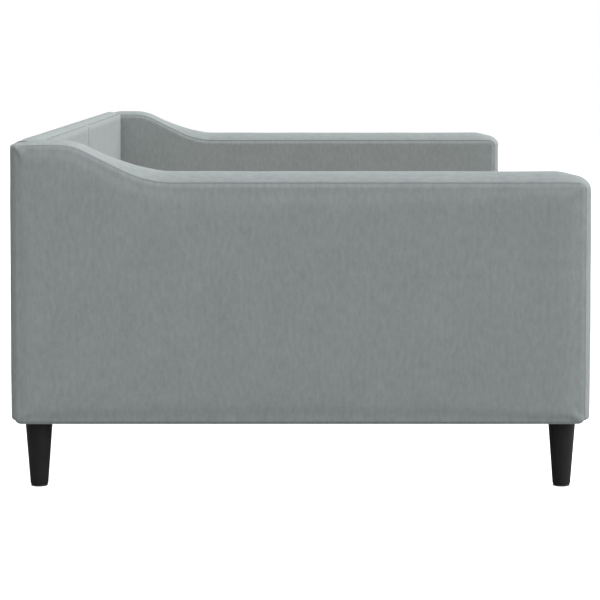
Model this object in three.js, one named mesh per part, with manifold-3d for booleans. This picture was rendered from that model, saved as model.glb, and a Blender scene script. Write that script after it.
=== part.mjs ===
// Upholstered three-sided daybed: two padded arms, a padded backrest in two halves, a front rail,
// a slatted base on ledgers and a centre beam, four turned legs and a levelling foot in the middle.
// Millimetres, +Z up, X along the length, -Y is the front. The origin is on the floor under the middle.
import * as THREE from 'three';
import { mergeVertices } from 'three/addons/utils/BufferGeometryUtils.js';
import Module from 'manifold-3d';

const wasm = await Module();
wasm.setup();

// ---- driving dimensions ----
const LENGTH = 2220; // over the outer faces of the arms
const DEPTH = 1150; // over the crowned front and rear strips of the arms
const LEG_HEIGHT = 130; // floor to the underside of the arms
const BACK_SEAM_HEIGHT = 676; // floor to the seam at the back corner of an arm
const ARM_SEAM_HEIGHT = 603.5; // floor to the seam along the arm
const GAP = 0.3; // between pieces that touch

const ARM_WIDTH = 105;
const SIDE_PAD = 16; // foam and cover on each face of an arm
const BAND = 12; // foam strip round an arm's edge, measured at its seams
const END_CROWN = 17; // swell of the strip beyond its seams, front and rear
const ARM_CROWN = 21; // the same along the top of the arm
const BACK_CROWN = 11; // the same on the back corner and on the backrest
const SLOPE_TOP = 111; // rear seam to the top of the slope
const SLOPE_RUN = 147; // length of the slope along Y
const SLOPE_TOP_RADIUS = 125;
const SLOPE_FOOT_RADIUS = 200;
const UPPER_CORNER = 15; // corner radii of a side panel
const LOWER_CORNER = 12;
const PANEL_ROLL = 10; // how far a side pad's face rolls over at its edge
const BAND_STEPS = 6; // facets across the strip
const BAND_LIFT = 3; // the strip stops this far above the panel's lower edge

const POST = 60; // width of a frame's end uprights
const STUD = 45; // width of the uprights and the rail between its windows
const TOP_RAIL = 45; // height of a frame's top member
const BASE_RAIL = 151; // height of a frame's bottom member
const WINDOW_COLUMNS = 4;
const WINDOW_ROWS = 2;
const DUST_COVER = 3;

const BACK_THICKNESS = 62; // backrest, front face to rear face
const BACK_FRAME = 32;
const BACK_REAR_PAD = 9.7;
const BACK_RECESS = 3; // rear of the backrest behind the swell of the arms

const RAIL_RECESS = 13; // front rail behind the swell of the arms
const RAIL_PAD = 16.7; // foam on the front of the rail
const RAIL_BOARD = 25;
const RAIL_INNER_PAD = 7.7;
const RAIL_TOP_PAD = 12;
const RAIL_HEIGHT = 200; // underside to the top of the cover
const RAIL_ROUNDING = 14;

const LEDGER_TOP = 280;
const LEDGER_HEIGHT = 30;
const LEDGER_WIDTH = 42;
const LEDGER_END_GAP = 5;

const SLAT_COUNT = 13;
const SLAT_WIDTH = 70;
const SLAT_THICKNESS = 18;
const SLAT_END_GAP = 1; // slat to the covers at its ends
const SLAT_MARGIN = 75; // arm's inner face to the middle of the first slat
const PAD_OVER_LEDGER = 4; // the inner pads start this far above the ledgers

const BEAM_WIDTH = 40;
const BEAM_HEIGHT = 60;
const BEAM_END_GAP = 0.7;
const HANGER_PLATE = 3;
const HANGER_REACH = 60;
const HANGER_FLANGE = 22;
const HANGER_DROP = 12;

const LEG_TOP_RADIUS = 27;
const LEG_FOOT_RADIUS = 17.5;
const LEG_INSET = 57; // leg axis to the outermost front or rear
const GLIDE_HEIGHT = 4;
const GLIDE_RADIUS = 16.5;
const DOWEL_RADIUS = 4; // threaded dowel on a leg
const DOWEL_LENGTH = 32;
const ROUND_STEPS = 24; // sides of a turned piece
const ARC_STEPS = 3; // half the steps of a round corner
const HARDWARE_STEPS = 16; // sides of a bolt or its hole

const PLATE = 4; // thickness of the steel brackets
const BRACKET_ARM = 60; // along the arm
const BRACKET_BOLT_OFFSET = 36; // corner of a bracket to its bolt
const BRACKET_RAIL_LEG = 70; // along the rail or the backrest
const BRACKET_HEIGHT = 90;
const BRACKET_DROP = 40; // ledger top to the top of a bracket
const BOLT_RADIUS = 4;
const BOLT_HEAD_RADIUS = 9;
const BOLT_HEAD = 5;
const BOLT_REACH = 22; // bolt into the wood
const BOLT_HOLE_END = 2; // hole beyond the bolt's end
const BOLT_HOLE_CLEARANCE = 0.4;
const PLATE_WIDTH = 160; // plate that joins the halves of the backrest
const PLATE_BOLT_OFFSET = 40; // middle of the plate to each bolt

const PROP_SIDE = 45; // centre leg, square
const PROP_GAP = 22; // floor to the insert under the centre leg
const INSERT_FLANGE = 2;
const INSERT_FLANGE_RADIUS = 12;
const INSERT_RADIUS = 6;
const INSERT_DEPTH = 13;
const STEM_RADIUS = 4;
const STEM_CLEARANCE = 0.2;
const STEM_TOP = 62;
const STEM_HEAD_RADIUS = 6.2;
const STEM_HEAD = 4;
const FOOT_RADIUS = 20;
const FOOT_HEIGHT = 12;
const FOOT_SHOULDER_RADIUS = 13; // top of the foot's sloping shoulder
const FOOT_FLOOR = 4; // material under the stem's head
const FOOT_LIFT = 8; // how far the foot screws in
const CHAMFER = 1;

// ---- places that follow from them ----
const HALF_LENGTH = LENGTH / 2;
const HALF_INNER = HALF_LENGTH - ARM_WIDTH;
const REAR = DEPTH / 2;
const SEAM_Y = REAR - END_CROWN;
const SLOPE_ANGLE = Math.atan2(BACK_SEAM_HEIGHT - ARM_SEAM_HEIGHT, SLOPE_RUN);
const FRAME_BOTTOM = LEG_HEIGHT + DUST_COVER + GAP;
const PAD_BOTTOM = LEDGER_TOP + PAD_OVER_LEDGER;
const BACK_REAR = REAR - BACK_RECESS;
const BACK_FRONT = BACK_REAR - BACK_THICKNESS;
const BACK_FRAME_REAR = BACK_REAR - BACK_REAR_PAD - GAP;
const BACK_FRAME_FRONT = BACK_FRAME_REAR - BACK_FRAME;
const BACK_FRAME_TOP = BACK_SEAM_HEIGHT - BAND;
const RAIL_FRONT = -REAR + RAIL_RECESS;
const BOARD_FRONT = RAIL_FRONT + RAIL_PAD + GAP;
const BOARD_REAR = BOARD_FRONT + RAIL_BOARD;
const RAIL_REAR = BOARD_REAR + GAP + RAIL_INNER_PAD;
const RAIL_TOP = LEG_HEIGHT + RAIL_HEIGHT;
const LEG_X = HALF_LENGTH - ARM_WIDTH / 2;
const LEG_Y = REAR - LEG_INSET;
const BRACKET_TOP = LEDGER_TOP - BRACKET_DROP;
const BEAM_BOTTOM = LEDGER_TOP - BEAM_HEIGHT;
const HOLE_RADIUS = BOLT_RADIUS + BOLT_HOLE_CLEARANCE;

// ---- finishes ----
const fabric = () => new THREE.MeshStandardMaterial({ color: 0x8c9293, roughness: 0.95, metalness: 0 });
const pine = () => new THREE.MeshStandardMaterial({ color: 0xc9a878, roughness: 0.7, metalness: 0 });
const blackLacquer = () => new THREE.MeshStandardMaterial({ color: 0x222222, roughness: 0.45, metalness: 0 });
const blackCloth = () => new THREE.MeshStandardMaterial({ color: 0x1c1c1d, roughness: 0.95, metalness: 0 });
const steel = () => new THREE.MeshStandardMaterial({ color: 0xa9abae, roughness: 0.35, metalness: 1 });
const blackPlastic = () => new THREE.MeshStandardMaterial({ color: 0x26272a, roughness: 0.6, metalness: 0 });

const daybed = new THREE.Group();

function place(name, geometry, material) {
  const mesh = new THREE.Mesh(geometry, material);
  mesh.name = name;
  daybed.add(mesh);
}

// ---- solids ----
function toSolid(geometry) {
  const bare = geometry.clone();
  bare.deleteAttribute('normal');
  bare.deleteAttribute('uv');
  const merged = mergeVertices(bare, 1e-3);
  const vertProperties = new Float32Array(merged.attributes.position.array);
  const triVerts = new Uint32Array(merged.index.array);
  return new wasm.Manifold(new wasm.Mesh({ numProp: 3, vertProperties, triVerts }));
}

function toGeometry(solid) {
  const mesh = solid.getMesh();
  const geometry = new THREE.BufferGeometry();
  geometry.setAttribute('position', new THREE.BufferAttribute(new Float32Array(mesh.vertProperties), 3));
  geometry.setIndex(new THREE.BufferAttribute(new Uint32Array(mesh.triVerts), 1));
  return geometry;
}

function cut(geometry, ...tools) {
  let solid = toSolid(geometry);
  for (const tool of tools) solid = solid.subtract(toSolid(tool));
  return toGeometry(solid);
}

// A box between two corners.
function block(x0, x1, y0, y1, z0, z1) {
  const geometry = new THREE.BoxGeometry(x1 - x0, y1 - y0, z1 - z0);
  geometry.translate((x0 + x1) / 2, (y0 + y1) / 2, (z0 + z1) / 2);
  return geometry;
}

// An outline in the YZ plane, drawn as (Y, Z), given thickness along X.
const FROM_YZ = new THREE.Matrix4().makeBasis(
  new THREE.Vector3(0, 1, 0), new THREE.Vector3(0, 0, 1), new THREE.Vector3(1, 0, 0));

function alongX(shape, x0, x1, options = {}) {
  const geometry = new THREE.ExtrudeGeometry(shape, {
    depth: x1 - x0, bevelEnabled: false, curveSegments: ARC_STEPS, ...options,
  });
  geometry.applyMatrix4(FROM_YZ);
  geometry.translate(x0, 0, 0);
  return geometry;
}

// A closed outline through the given corners, each [across, up, radius], with round corners as arcs.
function roundedShape(corners) {
  const shape = new THREE.Shape();
  corners.forEach(([a, b, radius], i) => {
    const here = new THREE.Vector2(a, b);
    const back = new THREE.Vector2(...corners.at(i - 1).slice(0, 2)).sub(here).normalize();
    const ahead = new THREE.Vector2(...corners[(i + 1) % corners.length].slice(0, 2)).sub(here).normalize();
    const halfTurn = (Math.PI - Math.acos(back.dot(ahead))) / 2;
    const tangent = radius * Math.tan(halfTurn);
    const start = back.clone().multiplyScalar(tangent).add(here);
    if (i === 0) shape.moveTo(start.x, start.y);
    else shape.lineTo(start.x, start.y);
    if (radius === 0) return;
    const clockwise = back.cross(ahead) > 0;
    const centre = back.clone().add(ahead).setLength(radius / Math.cos(halfTurn)).add(here);
    const end = ahead.clone().multiplyScalar(tangent).add(here);
    const angleTo = (point) => Math.atan2(point.y - centre.y, point.x - centre.x);
    shape.absarc(centre.x, centre.y, radius, angleTo(start), angleTo(end), clockwise);
  });
  shape.closePath();
  return shape;
}

function upright(radius, z0, z1, x, y) {
  const geometry = new THREE.CylinderGeometry(radius, radius, z1 - z0, HARDWARE_STEPS);
  geometry.rotateX(Math.PI / 2);
  geometry.translate(x, y, (z0 + z1) / 2);
  return geometry;
}

// A turned piece about a vertical axis; the profile is [radius, height] from bottom to top.
function turned(profile, x = 0, y = 0) {
  const geometry = new THREE.LatheGeometry(profile.map(([r, z]) => new THREE.Vector2(r, z)), ROUND_STEPS);
  geometry.rotateX(Math.PI / 2);
  geometry.translate(x, y, 0);
  return geometry;
}

// ---- arms ----
// Corners of an arm's side outline, drawn in from the seam by the given distance.
function armCorners(inset, bottom) {
  const shift = inset * Math.tan(SLOPE_ANGLE / 2);
  const end = SEAM_Y - inset;
  const slopeTop = SEAM_Y - SLOPE_TOP + shift;
  const corner = Math.max(UPPER_CORNER - inset, 1);
  return [
    [-end, bottom, LOWER_CORNER],
    [end, bottom, LOWER_CORNER],
    [end, BACK_SEAM_HEIGHT - inset, corner],
    [slopeTop, BACK_SEAM_HEIGHT - inset, SLOPE_TOP_RADIUS],
    [slopeTop - SLOPE_RUN, ARM_SEAM_HEIGHT - inset, SLOPE_FOOT_RADIUS],
    [-end, ARM_SEAM_HEIGHT - inset, corner],
  ];
}

const inOrder = (a, b) => (a < b ? [a, b] : [b, a]);

// X of two planes in an arm, each measured in from its outer face; side is -1 on the left, 1 on the right.
const armSpan = (side, near, far) => inOrder(side * (HALF_LENGTH - near), side * (HALF_LENGTH - far));

function legAxes(side) {
  return [-1, 1].map((end) => [side * LEG_X, end * LEG_Y]);
}

function armOuterPad(side) {
  const panel = roundedShape(armCorners(0, LEG_HEIGHT));
  const pad = alongX(panel, ...armSpan(side, PANEL_ROLL, SIDE_PAD + PANEL_ROLL), {
    bevelEnabled: true,
    bevelThickness: PANEL_ROLL,
    bevelSize: PANEL_ROLL,
    bevelOffset: -PANEL_ROLL,
    bevelSegments: 3,
  });
  const behind = armSpan(side, SIDE_PAD, ARM_WIDTH);
  return cut(pad, block(...behind, -DEPTH, DEPTH, 0, 2 * BACK_SEAM_HEIGHT));
}

function armInnerPad(side) {
  const span = armSpan(side, ARM_WIDTH - SIDE_PAD, ARM_WIDTH);
  const pad = alongX(roundedShape(armCorners(0, LEG_HEIGHT)), ...span);
  return cut(pad, ...[-1, 1].map((end) => bracketBoltHole(side, end)));
}

// Cutters for a frame's windows between two ends and two heights; cutter gives one window its depth.
function frameWindows(a0, a1, sill, head, cutter) {
  const width = (a1 - a0 - (WINDOW_COLUMNS - 1) * STUD) / WINDOW_COLUMNS;
  const height = (head - sill - (WINDOW_ROWS - 1) * STUD) / WINDOW_ROWS;
  const cutters = [];
  for (let column = 0; column < WINDOW_COLUMNS; column += 1) {
    for (let row = 0; row < WINDOW_ROWS; row += 1) {
      const a = a0 + column * (width + STUD);
      const b = sill + row * (height + STUD);
      cutters.push(cutter(a, a + width, b, b + height));
    }
  }
  return cutters;
}

function armFrame(side) {
  const inset = BAND + GAP;
  const end = SEAM_Y - inset;
  const sill = FRAME_BOTTOM + BASE_RAIL;
  const head = ARM_SEAM_HEIGHT - inset - TOP_RAIL;
  const planes = armSpan(side, SIDE_PAD + GAP, ARM_WIDTH - SIDE_PAD - GAP);
  const frame = alongX(roundedShape(armCorners(inset, FRAME_BOTTOM)), ...planes);
  const through = armSpan(side, SIDE_PAD - 1, ARM_WIDTH - SIDE_PAD + 1);
  const windows = frameWindows(POST - end, end - POST, sill, head, (...edges) => block(...through, ...edges));
  const dowels = legAxes(side).map(([x, y]) =>
    upright(DOWEL_RADIUS + BOLT_HOLE_CLEARANCE, LEG_HEIGHT, LEG_HEIGHT + DOWEL_LENGTH + 2, x, y));
  const bolts = [-1, 1].map((row) => bracketBoltHole(side, row));
  return cut(frame, ...windows, ...dowels, ...bolts);
}

// The strip over an arm's edge, swollen between its two seams.
function armBand(side) {
  const [x0, x1] = armSpan(side, SIDE_PAD + GAP, ARM_WIDTH - SIDE_PAD - GAP);
  const bottom = LEG_HEIGHT + BAND_LIFT;
  const strip = alongX(roundedShape(armCorners(0, bottom)), x0, x1, { steps: BAND_STEPS });
  const middle = (x0 + x1) / 2;
  const halfWidth = (x1 - x0) / 2;
  const point = strip.attributes.position;
  const slopeTop = SEAM_Y - SLOPE_TOP;
  for (let i = 0; i < point.count; i += 1) {
    const swell = Math.sqrt(Math.max(0, 1 - ((point.getX(i) - middle) / halfWidth) ** 2));
    const y = point.getY(i);
    const down = THREE.MathUtils.clamp((slopeTop - y) / SLOPE_RUN, 0, 1);
    const upper = point.getZ(i) > ARM_SEAM_HEIGHT - UPPER_CORNER - 1;
    if (upper) point.setZ(i, point.getZ(i) + swell * THREE.MathUtils.lerp(BACK_CROWN, ARM_CROWN, down));
    if (Math.abs(y) > SEAM_Y - UPPER_CORNER - 1) point.setY(i, y + Math.sign(y) * swell * END_CROWN);
  }
  const core = alongX(roundedShape(armCorners(BAND, 0)), x0 - 1, x1 + 1);
  return cut(strip, core);
}

function armDustCover(side) {
  const ends = SEAM_Y - BAND - GAP - LOWER_CORNER;
  const planes = armSpan(side, SIDE_PAD + GAP, ARM_WIDTH - SIDE_PAD - GAP);
  const cover = block(...planes, -ends, ends, LEG_HEIGHT, LEG_HEIGHT + DUST_COVER);
  const holes = legAxes(side).map(([x, y]) =>
    upright(DOWEL_RADIUS + BOLT_HOLE_CLEARANCE, 0, BACK_SEAM_HEIGHT, x, y));
  return cut(cover, ...holes);
}

// ---- backrest ----
const backHalf = (side) => inOrder(side * GAP, side * (HALF_INNER - GAP));

function backPad(side) {
  const crownTop = BACK_SEAM_HEIGHT + 2 * BACK_CROWN + 2;
  const shoulder = BACK_SEAM_HEIGHT - 2;
  const shape = new THREE.Shape();
  shape.moveTo(BACK_FRONT, PAD_BOTTOM);
  shape.lineTo(BACK_FRAME_FRONT - GAP, PAD_BOTTOM);
  shape.lineTo(BACK_FRAME_FRONT - GAP, BACK_FRAME_TOP + GAP);
  shape.lineTo(BACK_REAR, BACK_FRAME_TOP + GAP);
  shape.lineTo(BACK_REAR, shoulder);
  shape.quadraticCurveTo((BACK_REAR + BACK_FRONT) / 2, crownTop, BACK_FRONT, shoulder);
  shape.closePath();
  return alongX(shape, ...backHalf(side), { curveSegments: 6 });
}

function backFrame(side) {
  const [x0, x1] = backHalf(side);
  const sill = FRAME_BOTTOM + BASE_RAIL;
  const head = BACK_FRAME_TOP - TOP_RAIL;
  const windows = frameWindows(x0 + POST, x1 - POST, sill, head, (a0, a1, b0, b1) =>
    block(a0, a1, BACK_FRAME_FRONT - 1, BACK_FRAME_REAR + 1, b0, b1));
  const frame = block(x0, x1, BACK_FRAME_FRONT, BACK_FRAME_REAR, FRAME_BOTTOM, BACK_FRAME_TOP);
  return cut(frame, ...windows, plateBoltHole(side));
}

function backRearPanel(side) {
  return block(...backHalf(side), BACK_FRAME_REAR + GAP, BACK_REAR, FRAME_BOTTOM, BACK_FRAME_TOP);
}

// ---- front rail and ledgers ----
function railCover() {
  const boardTop = RAIL_TOP - RAIL_TOP_PAD;
  const shape = roundedShape([
    [RAIL_FRONT, FRAME_BOTTOM, 3],
    [BOARD_FRONT - GAP, FRAME_BOTTOM, 0],
    [BOARD_FRONT - GAP, boardTop + GAP, 0],
    [BOARD_REAR + GAP, boardTop + GAP, 0],
    [BOARD_REAR + GAP, PAD_BOTTOM, 0],
    [RAIL_REAR, PAD_BOTTOM, 0],
    [RAIL_REAR, RAIL_TOP, RAIL_ROUNDING],
    [RAIL_FRONT, RAIL_TOP, RAIL_ROUNDING],
  ]);
  return alongX(shape, -HALF_INNER + GAP, HALF_INNER - GAP);
}

function railBoard() {
  const reach = HALF_INNER - GAP;
  return block(-reach, reach, BOARD_FRONT, BOARD_REAR, FRAME_BOTTOM, RAIL_TOP - RAIL_TOP_PAD);
}

function ledger(y0, y1) {
  const reach = HALF_INNER - LEDGER_END_GAP;
  return block(-reach, reach, y0, y1, LEDGER_TOP - LEDGER_HEIGHT, LEDGER_TOP);
}

// ---- slats, beam and hangers ----
function slat(index) {
  const first = -HALF_INNER + SLAT_MARGIN;
  const middle = first + (index * -2 * first) / (SLAT_COUNT - 1);
  const bottom = LEDGER_TOP + GAP;
  return block(middle - SLAT_WIDTH / 2, middle + SLAT_WIDTH / 2, RAIL_REAR + SLAT_END_GAP,
    BACK_FRONT - SLAT_END_GAP, bottom, bottom + SLAT_THICKNESS);
}

function beam() {
  const reach = HALF_INNER - GAP - HANGER_PLATE - BEAM_END_GAP;
  return block(-reach, reach, -BEAM_WIDTH / 2, BEAM_WIDTH / 2, BEAM_BOTTOM, LEDGER_TOP);
}

function beamHanger(side) {
  const inside = BEAM_WIDTH / 2 + GAP;
  const outside = inside + HANGER_PLATE;
  const floor = BEAM_BOTTOM - GAP;
  const cradle = roundedShape([
    [-outside, floor - HANGER_PLATE, 0], [outside, floor - HANGER_PLATE, 0],
    [outside, LEDGER_TOP - HANGER_DROP, 0], [inside, LEDGER_TOP - HANGER_DROP, 0],
    [inside, floor, 0], [-inside, floor, 0],
    [-inside, LEDGER_TOP - HANGER_DROP, 0], [-outside, LEDGER_TOP - HANGER_DROP, 0],
  ]);
  const face = side * (HALF_INNER - GAP);
  const plate = inOrder(face, face - side * HANGER_PLATE);
  const wide = outside + HANGER_FLANGE;
  const solid = toSolid(alongX(cradle, ...inOrder(face, face - side * HANGER_REACH))).add(
    toSolid(block(...plate, -wide, wide, floor - HANGER_PLATE, LEDGER_TOP - HANGER_DROP)));
  return toGeometry(solid);
}

// ---- brackets, plate and bolts ----
// Where the rail or the backrest frame meets an arm: end is -1 at the front and 1 at the back.
function bracketFace(end) {
  return end < 0 ? BOARD_REAR + GAP : BACK_FRAME_FRONT - GAP;
}

function bracketBolt(side, end) {
  return {
    x: side * (HALF_INNER - GAP - PLATE),
    y: bracketFace(end) - end * BRACKET_BOLT_OFFSET,
    z: BRACKET_TOP - BRACKET_HEIGHT / 2,
  };
}

function rodAlongX(radius, x0, x1, y, z) {
  const geometry = new THREE.CylinderGeometry(radius, radius, Math.abs(x1 - x0), HARDWARE_STEPS);
  geometry.rotateZ(Math.PI / 2);
  geometry.translate((x0 + x1) / 2, y, z);
  return geometry;
}

function rodAlongY(radius, y0, y1, x, z) {
  const geometry = new THREE.CylinderGeometry(radius, radius, Math.abs(y1 - y0), HARDWARE_STEPS);
  geometry.translate(x, (y0 + y1) / 2, z);
  return geometry;
}

function bracketBoltHole(side, end) {
  const { x, y, z } = bracketBolt(side, end);
  const tip = PLATE + SIDE_PAD + BOLT_REACH + BOLT_HOLE_END;
  return rodAlongX(HOLE_RADIUS, x - side * BOLT_HEAD, x + side * tip, y, z);
}

function bracket(side, end) {
  const outer = side * (HALF_INNER - GAP);
  const face = bracketFace(end);
  const ySpan = (depth) => inOrder(face, face - end * depth);
  const xSpan = (depth) => inOrder(outer, outer - side * depth);
  const bottom = BRACKET_TOP - BRACKET_HEIGHT;
  const armLeg = toSolid(block(...xSpan(PLATE), ...ySpan(BRACKET_ARM), bottom, BRACKET_TOP));
  const railLeg = toSolid(block(...xSpan(BRACKET_RAIL_LEG), ...ySpan(PLATE), bottom, BRACKET_TOP));
  return toGeometry(armLeg.add(railLeg).subtract(toSolid(bracketBoltHole(side, end))));
}

function boltAlongX(side, end) {
  const { x, y, z } = bracketBolt(side, end);
  const seat = x - side * GAP;
  const head = toSolid(rodAlongX(BOLT_HEAD_RADIUS, seat, seat - side * BOLT_HEAD, y, z));
  const tip = x + side * (PLATE + SIDE_PAD + BOLT_REACH);
  const shank = toSolid(rodAlongX(BOLT_RADIUS, seat - side, tip, y, z));
  return toGeometry(head.add(shank));
}

const plateBoltPlace = (side) => ({
  x: side * PLATE_BOLT_OFFSET,
  y: BACK_FRAME_FRONT - GAP - PLATE,
  z: BRACKET_TOP - BRACKET_HEIGHT / 2,
});

function plateBoltHole(side) {
  const { x, y, z } = plateBoltPlace(side);
  return rodAlongY(HOLE_RADIUS, y - 1, y + PLATE + BOLT_REACH + BOLT_HOLE_END, x, z);
}

function joiningPlate() {
  const plate = block(-PLATE_WIDTH / 2, PLATE_WIDTH / 2, BACK_FRAME_FRONT - GAP - PLATE,
    BACK_FRAME_FRONT - GAP, BRACKET_TOP - BRACKET_HEIGHT, BRACKET_TOP);
  return cut(plate, plateBoltHole(-1), plateBoltHole(1));
}

function plateBolt(side) {
  const { x, y, z } = plateBoltPlace(side);
  const seat = y - GAP;
  const head = toSolid(rodAlongY(BOLT_HEAD_RADIUS, seat - BOLT_HEAD, seat, x, z));
  return toGeometry(head.add(toSolid(rodAlongY(BOLT_RADIUS, seat - 1, y + PLATE + BOLT_REACH, x, z))));
}

// ---- legs ----
function cornerLeg(x, y) {
  const top = LEG_HEIGHT - GAP;
  return turned([
    [0, GLIDE_HEIGHT + GAP], [LEG_FOOT_RADIUS - CHAMFER, GLIDE_HEIGHT + GAP],
    [LEG_FOOT_RADIUS, GLIDE_HEIGHT + GAP + CHAMFER],
    [LEG_TOP_RADIUS, top], [DOWEL_RADIUS, top], [DOWEL_RADIUS, top + DOWEL_LENGTH], [0, top + DOWEL_LENGTH],
  ], x, y);
}

function glide(x, y) {
  return turned([
    [0, 0], [GLIDE_RADIUS - CHAMFER, 0], [GLIDE_RADIUS, CHAMFER], [GLIDE_RADIUS, GLIDE_HEIGHT],
    [0, GLIDE_HEIGHT],
  ], x, y);
}

function centreLeg() {
  const bottom = PROP_GAP + INSERT_FLANGE + GAP;
  const half = PROP_SIDE / 2;
  const post = block(-half, half, -half, half, bottom, BEAM_BOTTOM - GAP);
  const bore = upright(STEM_RADIUS + 2 * STEM_CLEARANCE, 0, STEM_TOP + FOOT_LIFT + 2, 0, 0);
  const socket = upright(INSERT_RADIUS + GAP, 0, PROP_GAP + INSERT_FLANGE + INSERT_DEPTH + GAP, 0, 0);
  return cut(post, bore, socket);
}

function threadedInsert() {
  const inner = STEM_RADIUS + STEM_CLEARANCE;
  const rim = PROP_GAP + INSERT_FLANGE;
  return turned([
    [inner, PROP_GAP], [INSERT_FLANGE_RADIUS, PROP_GAP], [INSERT_FLANGE_RADIUS, rim],
    [INSERT_RADIUS, rim], [INSERT_RADIUS, rim + INSERT_DEPTH], [inner, rim + INSERT_DEPTH],
    [inner, PROP_GAP],
  ]);
}

function footStem() {
  const head = FOOT_FLOOR + GAP;
  return turned([
    [0, head], [STEM_HEAD_RADIUS, head],
    [STEM_HEAD_RADIUS, head + STEM_HEAD], [STEM_RADIUS, head + STEM_HEAD],
    [STEM_RADIUS, STEM_TOP - CHAMFER], [STEM_RADIUS - CHAMFER, STEM_TOP], [0, STEM_TOP],
  ]);
}

function footPad() {
  const socket = STEM_HEAD_RADIUS + GAP;
  const neck = STEM_RADIUS + 2 * GAP;
  const ceiling = FOOT_FLOOR + STEM_HEAD + 2 * GAP;
  return turned([
    [0, 0], [FOOT_RADIUS, 0], [FOOT_RADIUS, FOOT_HEIGHT / 2], [FOOT_SHOULDER_RADIUS, FOOT_HEIGHT],
    [neck, FOOT_HEIGHT], [neck, ceiling], [socket, ceiling], [socket, FOOT_FLOOR], [0, FOOT_FLOOR],
  ]);
}

// ---- assembly ----
for (const [hand, side] of [['left', -1], ['right', 1]]) {
  place(`${hand}_arm_outer_pad`, armOuterPad(side), fabric());
  place(`${hand}_arm_inner_pad`, armInnerPad(side), fabric());
  place(`${hand}_arm_edge_strip`, armBand(side), fabric());
  place(`${hand}_arm_frame`, armFrame(side), pine());
  place(`${hand}_arm_dust_cover`, armDustCover(side), blackCloth());
  place(`${hand}_back_pad`, backPad(side), fabric());
  place(`${hand}_back_frame`, backFrame(side), pine());
  place(`${hand}_back_rear_panel`, backRearPanel(side), fabric());
  place(`${hand}_beam_hanger`, beamHanger(side), steel());
  place(`${hand}_back_plate_bolt`, plateBolt(side), steel());
  for (const [row, end] of [['front', -1], ['rear', 1]]) {
    place(`${row}_${hand}_leg`, cornerLeg(side * LEG_X, end * LEG_Y), blackLacquer());
    place(`${row}_${hand}_glide`, glide(side * LEG_X, end * LEG_Y), blackPlastic());
    place(`${row}_${hand}_bracket`, bracket(side, end), steel());
    place(`${row}_${hand}_bracket_bolt`, boltAlongX(side, end), steel());
  }
}
place('front_rail_cover', railCover(), fabric());
place('front_rail_board', railBoard(), pine());
place('front_ledger', ledger(BOARD_REAR + GAP, BOARD_REAR + GAP + LEDGER_WIDTH), pine());
place('rear_ledger', ledger(BACK_FRAME_FRONT - GAP - LEDGER_WIDTH, BACK_FRAME_FRONT - GAP), pine());
place('back_joining_plate', joiningPlate(), steel());
place('centre_beam', beam(), pine());
for (let index = 0; index < SLAT_COUNT; index += 1) {
  place(`slat_${String(index + 1).padStart(2, '0')}`, slat(index), pine());
}
place('centre_leg', centreLeg(), pine());
place('centre_leg_insert', threadedInsert(), steel());
place('levelling_stem', footStem(), steel());
place('levelling_pad', footPad(), blackPlastic());

export default daybed;
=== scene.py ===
import math

import bpy
import numpy as np
from mathutils import Matrix, Vector, noise


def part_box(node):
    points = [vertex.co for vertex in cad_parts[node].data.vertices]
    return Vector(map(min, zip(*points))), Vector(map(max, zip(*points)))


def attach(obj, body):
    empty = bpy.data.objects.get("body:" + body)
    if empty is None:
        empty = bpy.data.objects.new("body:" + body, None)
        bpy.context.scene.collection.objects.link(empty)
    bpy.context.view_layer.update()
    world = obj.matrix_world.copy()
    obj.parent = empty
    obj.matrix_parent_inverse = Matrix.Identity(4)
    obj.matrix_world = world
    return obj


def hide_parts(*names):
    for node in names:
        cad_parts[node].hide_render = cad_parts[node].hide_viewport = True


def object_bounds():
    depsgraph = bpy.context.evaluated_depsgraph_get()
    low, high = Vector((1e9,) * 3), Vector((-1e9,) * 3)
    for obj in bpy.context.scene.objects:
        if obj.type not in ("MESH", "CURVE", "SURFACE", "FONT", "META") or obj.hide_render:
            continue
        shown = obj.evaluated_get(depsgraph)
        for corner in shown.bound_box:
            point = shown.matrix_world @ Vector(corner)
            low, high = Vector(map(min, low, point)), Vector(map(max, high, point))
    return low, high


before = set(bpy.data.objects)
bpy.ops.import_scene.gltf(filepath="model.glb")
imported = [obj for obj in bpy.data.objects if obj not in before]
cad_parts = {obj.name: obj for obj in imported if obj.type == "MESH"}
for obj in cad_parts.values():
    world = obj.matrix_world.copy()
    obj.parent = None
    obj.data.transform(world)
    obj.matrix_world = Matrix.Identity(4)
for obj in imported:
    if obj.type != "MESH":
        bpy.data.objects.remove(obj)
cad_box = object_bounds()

# An upholstered daybed: padded arms with an edge strip sewn between two side panels, a padded
# backrest in two halves, a padded front rail and a slatted base. Everything is in metres.

MM = 0.001
BODY = "daybed_frame"
GAP = 0.3 * MM

# The arm's side outline. Its ends, top and underside come from the frame.
ARM_SEAM_HEIGHT = 603.5 * MM
SLOPE_TOP = 111 * MM  # rear seam to the top of the slope
SLOPE_RUN = 147 * MM
SLOPE_TOP_RADIUS = 125 * MM
SLOPE_FOOT_RADIUS = 200 * MM
FRONT_CORNER = 13 * MM  # upper corners of the seam
REAR_CORNER = 6 * MM
LOWER_CORNER = 13 * MM
SEAM_SPREAD = 3 * MM  # the rear seam lies this far out from the frame's
SEAM_LIFT = 1.5 * MM  # and the top of the back corner this far up

# Swell of the strips beyond their seams.
REAR_CROWN = 10.6 * MM
FRONT_CROWN = 15 * MM
ARM_CROWN = 22 * MM
ARM_END_CROWN = 12 * MM  # where the top of the arm dips to its front corner
CORNER_CROWN = 9.5 * MM  # on top of the back corner
MID_SWELL = 1 * MM  # extra swell half way up the front and rear strips
SLOPE_DIP = 3 * MM  # the cloth is pulled tighter on the slope
REAR_DIP = 6 * MM  # and at the rear corner
CORNER_FILL = 0.15  # how far the rear corner is filled out towards a square one

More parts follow.
